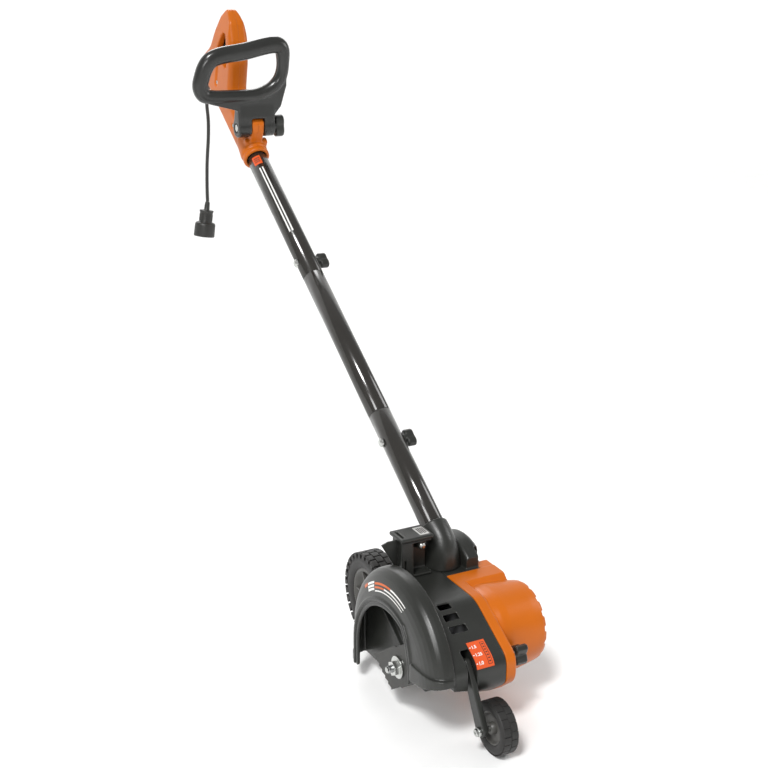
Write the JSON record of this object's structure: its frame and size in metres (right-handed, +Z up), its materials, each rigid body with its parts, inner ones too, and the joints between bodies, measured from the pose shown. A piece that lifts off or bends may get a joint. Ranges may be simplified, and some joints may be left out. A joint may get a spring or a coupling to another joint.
{
  "type": "lawn edger",
  "caption": "Corded walk-behind lawn edger with guarded serrated blade, in-line depth and rear wheels, sectioned tube pole and loop handles",
  "frame": {"origin": "ground level under the middle of the footprint, the cord and its plug left out", "axes": "+Z up, -Y the way the edger travels, -X the blade side, +X the motor side"},
  "size_m": [0.252, 1.3742, 1.0526],
  "materials": {
    "black_plastic": "textured charcoal moulding",
    "orange_plastic": "orange moulding",
    "tube_paint": "glossy dark grey-brown paint",
    "tyre_rubber": "dark tread",
    "hub_plastic": "dark grey moulding",
    "zinc_plate": "bright zinc plate",
    "machined_steel": "machined steel",
    "blade_steel": "dark hardened steel",
    "cast_alloy": "die cast",
    "copper_winding": "enamelled copper",
    "brass_contact": "bright brass",
    "soft_rubber": "soft black rubber",
    "pale_plastic": "glass-filled moulding"
  },
  "bodies": {
    "chassis": {"blade_guard": "black_plastic", "gear_housing": "black_plastic", "bearing_plate": "cast_alloy", "motor_cover": "orange_plastic", "motor_end_cap": "orange_plastic", "rear_housing": "black_plastic", "pole_socket": "black_plastic", "deflector_bracket": "black_plastic", "bracket_lid": "black_plastic", "side_deflector": "black_plastic", "spindle_bearing_outer": "machined_steel", "spindle_bearing_inner": "machined_steel", "stator": "machined_steel", "brush_holder_front": "brass_contact", "brush_holder_rear": "brass_contact", "motor_bearing_front": "machined_steel", "motor_bearing_rear": "machined_steel", "rear_wheel_arm": "black_plastic", "rear_axle": "zinc_plate", "depth_bolt": "zinc_plate", "lower_tube": "tube_paint", "middle_tube": "tube_paint", "upper_tube": "tube_paint", "lower_carriage_bolt": "zinc_plate", "upper_carriage_bolt": "zinc_plate", "handle_left_shell": "orange_plastic", "handle_right_shell": "orange_plastic", "trigger_pin": "machined_steel", "switch_module": "soft_rubber", "strain_relief": "soft_rubber", "cord": "soft_rubber", "plug_body": "soft_rubber", "plug_blade_left": "brass_contact", "plug_blade_right": "brass_contact"},
    "blade_spindle": {"spindle": "machined_steel", "drive_gear": "machined_steel", "inner_flange": "zinc_plate", "blade": "blade_steel", "flange_nut": "zinc_plate"},
    "rotor": {"motor_shaft": "machined_steel", "pinion": "machined_steel", "armature": "copper_winding", "commutator": "brass_contact", "cooling_fan": "pale_plastic"},
    "rear_wheel": {"rear_tyre": "tyre_rubber", "rear_hub": "hub_plastic"},
    "depth_leg": {"depth_arm": "black_plastic", "front_axle_bolt": "zinc_plate"},
    "front_wheel": {"front_tyre": "tyre_rubber", "front_hub": "hub_plastic"},
    "depth_clamp": {"depth_knob": "black_plastic"},
    "lower_tube_clamp": {"lower_tube_knob": "black_plastic"},
    "upper_tube_clamp": {"upper_tube_knob": "black_plastic"},
    "front_grip": {"front_handle": "black_plastic", "front_handle_bolt": "zinc_plate"},
    "front_grip_clamp": {"front_handle_knob": "black_plastic"},
    "trigger_lever": {"trigger": "black_plastic"},
    "lock_off": {"lock_off_button": "black_plastic"}
  },
  "joints": [
    {"name": "rotor_spin", "type": "hinge", "parent": "chassis", "child": "rotor", "pos_m": [0.044, -0.47585, 0.12625], "axis": [1, 0, 0], "continuous": true},
    {"name": "blade_spin", "type": "hinge", "parent": "chassis", "child": "blade_spindle", "pos_m": [-0.056, -0.46785, 0.093], "axis": [1, 0, 0], "continuous": true},
    {"name": "rear_wheel_spin", "type": "hinge", "parent": "chassis", "child": "rear_wheel", "pos_m": [-0.021, -0.21785, 0.0827], "axis": [1, 0, 0], "continuous": true},
    {"name": "depth_adjust", "type": "hinge", "parent": "chassis", "child": "depth_leg", "pos_m": [-0.041, -0.57185, 0.1295], "axis": [1, 0, 0], "range_deg": [-47, 0]},
    {"name": "front_wheel_spin", "type": "hinge", "parent": "depth_leg", "child": "front_wheel", "pos_m": [-0.016, -0.61885, 0.0433], "axis": [1, 0, 0], "continuous": true},
    {"name": "depth_knob_turn", "type": "hinge", "parent": "chassis", "child": "depth_clamp", "pos_m": [0.044, -0.57185, 0.1295], "axis": [1, 0, 0], "range_deg": [0, 360]},
    {"name": "lower_tube_knob_turn", "type": "hinge", "parent": "chassis", "child": "lower_tube_clamp", "pos_m": [0.059, -0.18958, 0.35882], "axis": [1, 0, 0], "range_deg": [0, 360]},
    {"name": "upper_tube_knob_turn", "type": "hinge", "parent": "chassis", "child": "upper_tube_clamp", "pos_m": [0.059, 0.16019, 0.60373], "axis": [1, 0, 0], "range_deg": [0, 360]},
    {"name": "front_handle_tilt", "type": "hinge", "parent": "chassis", "child": "front_grip", "pos_m": [0.029, 0.39733, 0.83082], "axis": [1, 0, 0], "range_deg": [-20, 60]},
    {"name": "front_handle_knob_turn", "type": "hinge", "parent": "front_grip", "child": "front_grip_clamp", "pos_m": [0.074, 0.39733, 0.83082], "axis": [1, 0, 0], "range_deg": [0, 360]},
    {"name": "trigger_pull", "type": "hinge", "parent": "chassis", "child": "trigger_lever", "pos_m": [0.029, 0.517, 1.0025], "axis": [1, 0, 0], "range_deg": [0, 8], "stiffness_Nm_per_rad": 0.15, "springref_deg": -11.46},
    {"name": "lock_off_press", "type": "slide", "parent": "chassis", "child": "lock_off", "axis": [1, 0, 0], "range_m": [0, 0.004], "stiffness_N_per_m": 150, "springref_m": -0.003}
  ],
  "couplings": [
    {"joint": "blade_spin", "follows": "rotor_spin", "ratio": -0.1875}
  ]
}
